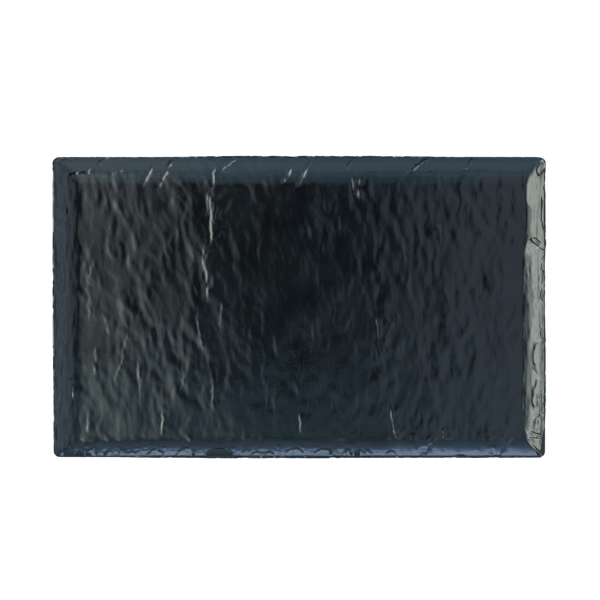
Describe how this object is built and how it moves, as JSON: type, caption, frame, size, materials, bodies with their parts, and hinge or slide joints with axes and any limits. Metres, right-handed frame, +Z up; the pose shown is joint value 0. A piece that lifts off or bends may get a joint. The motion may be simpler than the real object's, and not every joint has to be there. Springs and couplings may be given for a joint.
{
  "type": "serving platter",
  "caption": "Rectangular slate-look melamine serving platter with a coved rim, chipped edges and recessed anti-slip foot pads.",
  "frame": {"origin": "on the table, under the middle of the platter", "axes": "+X along the platter, +Y across it towards the far side in the picture, +Z up"},
  "size_m": [0.53, 0.325, 0.02],
  "materials": {
    "shell_melamine": "satin",
    "slate_glaze": "satin",
    "foot_silicone": "matte",
    "adhesive": "matte"
  },
  "bodies": {
    "root": {"platter_shell": "shell_melamine", "slate_face": "slate_glaze", "foot_front_left": "foot_silicone", "foot_front_right": "foot_silicone", "foot_rear_left": "foot_silicone", "foot_rear_right": "foot_silicone", "foot_adhesive": "adhesive"}
  },
  "joints": []
}
